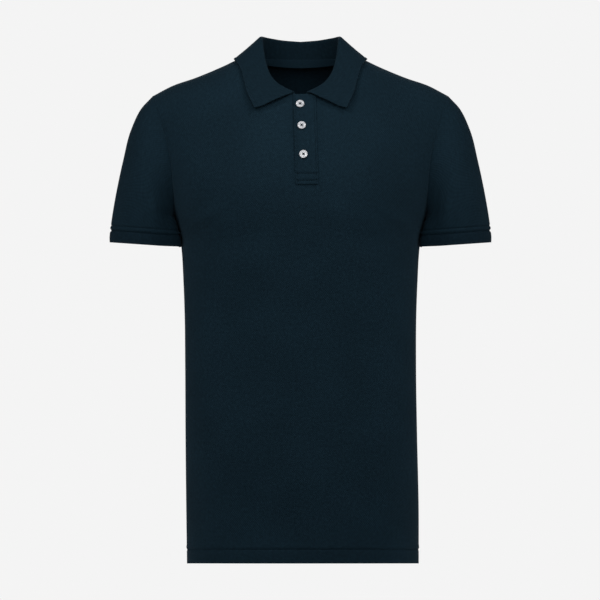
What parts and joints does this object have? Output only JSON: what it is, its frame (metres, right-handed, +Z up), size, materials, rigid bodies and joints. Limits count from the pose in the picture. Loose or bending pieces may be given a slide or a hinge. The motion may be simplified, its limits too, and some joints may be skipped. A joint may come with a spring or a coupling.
{
  "type": "polo shirt",
  "caption": "Short-sleeved pique polo shirt in its worn shape with nobody in it, with a fold-down knit collar, a buttoned placket, rib cuffs and a turned-up hem.",
  "frame": {"origin": "midway between the shoulders, level with where the neck seam meets the shoulder seams (the neck seam's side is 2.5 mm higher), in the plane of the side seams; the wearer holds the shirt up here", "axes": "+Z up towards the collar, -Y out of the front, +X towards the wearer's left"},
  "size_m": [0.5472, 0.2495, 0.7555],
  "materials": {
    "navy_pique": "matte pique knit",
    "navy_rib": "matte flat rib knit",
    "navy_twill": "matte twill tape",
    "white_button": "pearly polyester"
  },
  "bodies": {
    "root": {"body_front": "navy_pique", "body_back": "navy_pique", "sleeve_left": "navy_pique", "sleeve_right": "navy_pique", "cuff_left": "navy_rib", "cuff_right": "navy_rib", "collar": "navy_rib", "neck_tape": "navy_twill", "placket_under": "navy_pique", "placket_upper": "navy_pique", "button_1": "white_button", "button_2": "white_button", "button_3": "white_button"}
  },
  "joints": []
}
